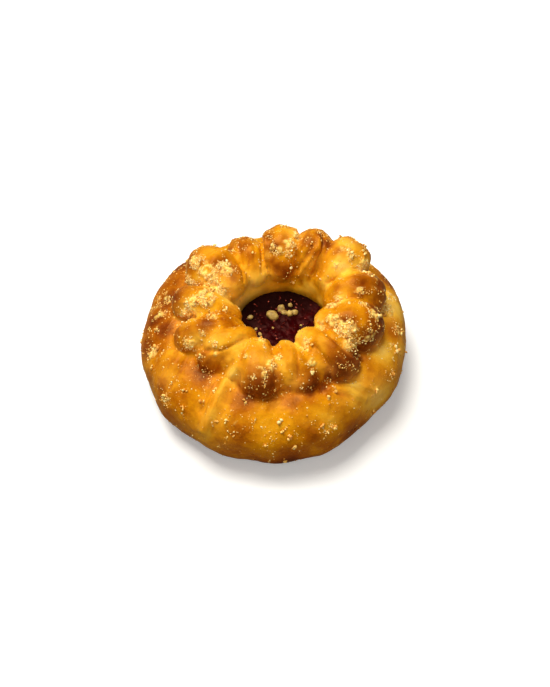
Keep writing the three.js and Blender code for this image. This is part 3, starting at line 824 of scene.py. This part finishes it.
class Finish:
    """A material, and short ways to add its nodes."""

    def __init__(self, name):
        self.material = bpy.data.materials.new(name)
        self.material.use_nodes = True
        self.tree = self.material.node_tree
        self.surface = self.tree.nodes["Principled BSDF"]
        self.place = self.node("ShaderNodeTexCoord").outputs["Object"]

    def node(self, kind, **settings):
        made = self.tree.nodes.new(kind)
        for name, value in settings.items():
            setattr(made, name, value)
        return made

    def link(self, source, target):
        """Gives an input another node's output, or a plain value."""
        if isinstance(source, (int, float, tuple)):
            target.default_value = source
        else:
            self.tree.links.new(source, target)

    def reckoned(self, operation, a, b):
        made = self.node("ShaderNodeMath", operation=operation)
        self.link(a, made.inputs[0])
        self.link(b, made.inputs[1])
        return made.outputs[0]

    def add(self, a, b):
        return self.reckoned("ADD", a, b)

    def times(self, a, b):
        return self.reckoned("MULTIPLY", a, b)

    def amount(self, name):
        """One of the amounts written on the mesh."""
        return self.node("ShaderNodeAttribute", attribute_name=name).outputs["Fac"]

    def cloud(self, scale, detail, roughness=0.5):
        """Soft noise, finer with a larger scale."""
        made = self.node("ShaderNodeTexNoise")
        self.link(self.place, made.inputs["Vector"])
        made.inputs["Scale"].default_value = scale
        made.inputs["Detail"].default_value = detail
        made.inputs["Roughness"].default_value = roughness
        return made.outputs["Fac"]

    def between(self, value, low, high, to_low=0.0, to_high=1.0):
        made = self.node("ShaderNodeMapRange")
        self.link(value, made.inputs["Value"])
        for name, number in zip(("From Min", "From Max", "To Min", "To Max"), (low, high, to_low, to_high)):
            made.inputs[name].default_value = number
        return made.outputs["Result"]

    def at_the_back(self):
        """How far towards the back left of the well, where the ring shades the jam."""
        place = self.node("ShaderNodeSeparateXYZ")
        self.link(self.place, place.inputs[0])
        across = self.add(place.outputs["Y"], self.times(place.outputs["X"], SHADED_SLANT))
        return self.between(across, *SHADED_FROM)

    def ramp(self, value, stops):
        made = self.node("ShaderNodeValToRGB")
        self.link(value, made.inputs["Fac"])
        band = made.color_ramp
        while len(band.elements) < len(stops):
            band.elements.new(0.5)
        for stop, (at, _) in zip(band.elements, stops):
            stop.position = at
        for stop, (_, colour) in zip(band.elements, stops):
            stop.color = colour
        return made.outputs["Color"]

    def mixed(self, share, a, b):
        made = self.node("ShaderNodeMix", data_type="RGBA")
        self.link(share, made.inputs["Factor"])
        self.link(a, made.inputs["A"])
        self.link(b, made.inputs["B"])
        return made.outputs["Result"]

    def bump(self, height, strength, depth):
        made = self.node("ShaderNodeBump")
        self.link(height, made.inputs["Height"])
        made.inputs["Strength"].default_value = strength
        made.inputs["Distance"].default_value = depth
        self.tree.links.new(made.outputs["Normal"], self.surface.inputs["Normal"])

    def set(self, **values):
        """Gives inputs of the surface their values, or the nodes that work them out."""
        for name, value in values.items():
            self.link(value, self.surface.inputs[name.replace("_", " ")])


def crust_finish():
    crust = Finish("golden_crust")
    toast = CRUST_TOAST
    for name, share in TOAST_SHARES:
        toast = crust.add(toast, crust.times(crust.amount(name), share))
    toast = crust.add(toast, crust.between(crust.cloud(90, 3.0), 0.3, 0.7, -0.09, 0.09))
    toast = crust.add(toast, crust.between(crust.cloud(420, 3.0, 0.6), 0.3, 0.7, -0.05, 0.05))
    colour = crust.ramp(toast, [
        (0.00, shade(255, 212, 96)),
        (0.22, shade(248, 190, 48)),
        (0.42, shade(223, 146, 8)),
        (0.62, shade(180, 98, 2)),
        (0.82, shade(128, 54, 2)),
        (1.00, shade(84, 28, 2)),
    ])
    # The pale amount holds painted highlights and painted light as well as stretched, paler skin.
    colour = crust.mixed(crust.times(crust.amount("pale"), 0.22), colour, shade(255, 184, 92))
    # Painted shade low on the well wall, where it meets the jam.
    colour = crust.mixed(crust.times(crust.amount("well_foot_shade"), 0.75), colour, shade(76, 36, 4))
    grainy = crust.between(crust.cloud(900, 3.0, 0.6), 0.38, 0.55)
    frost = crust.mixed(grainy, shade(232, 164, 62), shade(255, 226, 124))
    colour = crust.mixed(crust.times(crust.amount("frosted"), 0.9), colour, frost)
    dust = crust.add(crust.cloud(1500, 2.0, 0.6), crust.times(crust.amount("crumbed"), 0.34))
    colour = crust.mixed(crust.between(dust, 0.72, 0.8, 0.0, 0.8), colour, shade(250, 206, 108))
    crust.set(Base_Color=colour, Roughness=crust.between(crust.cloud(240, 2.0), 0.3, 0.7, 0.26, 0.42),
              Specular_IOR_Level=0.3, Specular_Tint=shade(255, 196, 112), Subsurface_Weight=0.04,
              Subsurface_Scale=0.002, Subsurface_Radius=(1.0, 0.45, 0.15))
    grain = crust.add(crust.cloud(700, 4.0, 0.65), crust.times(dust, 0.4))
    frosty = crust.times(crust.cloud(1000, 2.0), crust.times(crust.amount("frosted"), 1.6))
    crust.bump(crust.add(grain, frosty), 0.35, 0.0006)
    return crust.material


def crumb_finish():
    crumb = Finish("sweet_crumbs")
    tint = crumb.add(crumb.amount("tint"), crumb.between(crumb.cloud(900, 2.0), 0.3, 0.7, -0.2, 0.2))
    colour = crumb.ramp(tint, [
        (0.0, shade(222, 150, 58)),
        (0.35, shade(246, 190, 92)),
        (0.7, shade(255, 218, 124)),
        (1.0, shade(255, 236, 168)),
    ])
    crumb.set(Base_Color=colour, Roughness=0.55, Specular_IOR_Level=0.3, Subsurface_Weight=0.1,
              Subsurface_Scale=0.0008, Subsurface_Radius=(1.0, 0.7, 0.35))
    crumb.bump(crumb.cloud(2500, 3.0), 0.3, 0.0003)
    return crumb.material


def jam_finish():
    jam = Finish("raspberry_jam")
    colour = jam.ramp(jam.cloud(170, 3.0, 0.6), [
        (0.3, shade(16, 0, 1)),
        (0.55, shade(42, 1, 3)),
        (0.75, shade(70, 2, 5)),
    ])
    shaded = jam.at_the_back()
    colour = jam.mixed(jam.times(shaded, 0.92), colour, shade(9, 1, 1))
    rough = jam.between(jam.cloud(500, 2.0), 0.3, 0.7, 0.26, 0.42)
    jam.set(Base_Color=colour, Roughness=jam.add(rough, jam.times(shaded, 0.4)), Specular_IOR_Level=0.08,
            Specular_Tint=shade(255, 150, 130))
    jam.bump(jam.cloud(800, 3.0), 0.3, 0.0005)
    return jam.material


def bit_finish():
    bits = Finish("pale_bits")
    colour = bits.ramp(bits.cloud(500, 3.0), [
        (0.3, shade(142, 106, 44)),
        (0.6, shade(210, 178, 92)),
    ])
    colour = bits.mixed(bits.times(bits.at_the_back(), 0.5), colour, shade(70, 42, 24))
    bits.set(Base_Color=colour, Roughness=0.5, Specular_IOR_Level=0.3)
    bits.bump(bits.cloud(1500, 3.0), 0.3, 0.0004)
    return bits.material


def seed_finish():
    seeds = Finish("jam_seeds")
    colour = seeds.ramp(seeds.amount("tint"), [
        (0.0, shade(44, 3, 4)),
        (0.65, shade(76, 12, 10)),
        (1.0, shade(190, 96, 76)),
    ])
    seeds.set(Base_Color=colour, Roughness=0.2, Specular_IOR_Level=0.3, Specular_Tint=shade(255, 170, 150))
    return seeds.material


# ---- Picture ----

def lit_wall():
    """A white wall all round, so that low views have no grey behind them. It gives the room's light."""
    bm = bmesh.new()
    bmesh.ops.create_cone(bm, segments=64, radius1=WALL_RADIUS, radius2=WALL_RADIUS, depth=WALL_HIGH)
    bmesh.ops.translate(bm, vec=(0, 0, WALL_MIDDLE), verts=bm.verts)
    bmesh.ops.reverse_faces(bm, faces=bm.faces)
    wall = piece_from(bm, "white_wall")
    white = Finish("white_wall")
    seen = white.node("ShaderNodeLightPath").outputs["Is Camera Ray"]
    white.set(Base_Color=(0, 0, 0, 1), Roughness=1.0, Specular_IOR_Level=0.0,
              Emission_Color=(*LAMP_COLOUR, 1),
              Emission_Strength=white.between(seen, 0.0, 1.0, ROOM_LIGHT, WALL_GLOW))
    wall.data.materials.append(white.material)


def pale_floor():
    """A floor that looks pale and glows a little, with a painted shadow round the bun where it glows less,
    and that throws a little brown light back at the bun.
    """
    bm = bmesh.new()
    bmesh.ops.create_grid(bm, x_segments=1, y_segments=1, size=FLOOR_HALF)
    bmesh.ops.translate(bm, vec=(0, 0, -FLOOR_UNDER), verts=bm.verts)
    floor = piece_from(bm, "pale_floor")
    pale = Finish("pale_table")
    seen = pale.node("ShaderNodeLightPath").outputs["Is Camera Ray"]
    beside = pale.node("ShaderNodeVectorMath", operation="DISTANCE")
    pale.link(pale.place, beside.inputs[0])
    pale.link(SHADE_MIDDLE, beside.inputs[1])
    # Painted shadow: the floor glows less close round the bun.
    near = pale.between(beside.outputs["Value"], *SHADE_NEAR, *GLOW_NEAR)
    far = pale.between(beside.outputs["Value"], *SHADE_FAR, *GLOW_FAR)
    pale.set(Base_Color=pale.mixed(seen, FLOOR_THROWN, FLOOR_SEEN), Roughness=0.9, Specular_IOR_Level=0.1,
             Emission_Color=(1, 1, 1, 1), Emission_Strength=pale.times(seen, pale.add(near, far)))
    floor.data.materials.append(pale.material)


def lights():
    for name, place, size, power in LAMPS:
        lamp = bpy.data.lights.new(name, "AREA")
        lamp.size, lamp.energy, lamp.color = size, power, LAMP_COLOUR
        light = bpy.data.objects.new(name, lamp)
        light.location = place
        light.rotation_euler = (LAMPS_AIM - Vector(place)).to_track_quat("-Z", "Y").to_euler()
        bpy.context.scene.collection.objects.link(light)
    room = bpy.data.worlds.new("room")
    room.use_nodes = True
    glow = room.node_tree.nodes["Background"]
    glow.inputs["Color"].default_value = (*LAMP_COLOUR, 1)
    glow.inputs["Strength"].default_value = ROOM_LIGHT
    bpy.context.scene.world = room
    bpy.context.scene.view_settings.view_transform = "Standard"


def camera():
    eye, _ = sight_line(0, 0)
    lens = bpy.data.cameras.new("camera")
    lens.lens, lens.sensor_width, lens.clip_start = LENS, SENSOR, 0.01
    seen_from = bpy.data.objects.new("camera", lens)
    seen_from.location = eye * MM
    seen_from.rotation_euler = (CAMERA_AIM - eye).to_track_quat("-Z", "Y").to_euler()
    bpy.context.scene.collection.objects.link(seen_from)
    bpy.context.scene.camera = seen_from


camera()
pale_floor()
lights()
lit_wall()

dough, dough_tree = bun_dough()
dough.data.materials.append(crust_finish())
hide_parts("bun_dough")
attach(dough, "root")

crumb_material = crumb_finish()
grains = strewn("crumb_grains", spots_on(dough.data, GRAINS, 11, GRAIN_SIZE, GRAIN_STANDING), 12)
large_spots = notable_spots(dough_tree) + spots_on(dough.data, CLUMPS, 24, CLUMP_SIZE, CLUMP_STANDING)
clumps = strewn("crumb_clumps", clumped(large_spots, 23), 22)
for crumbs in (grains, clumps):
    crumbs.data.materials.append(crumb_material)
    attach(crumbs, "root")

jam = piece_from(jam_form(), "jam_pool")
jam.data.materials.append(jam_finish())
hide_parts("raspberry_jam")
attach(jam, "root")

seeds = strewn("jam_seeds", seed_spots(), 32, squash=SEED_SQUASH)
seeds.data.materials.append(seed_finish())
bits = piece_from(bit_forms(), "jam_crumbs")
bits.data.materials.append(bit_finish())
for small in (seeds, bits):
    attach(small, "root")
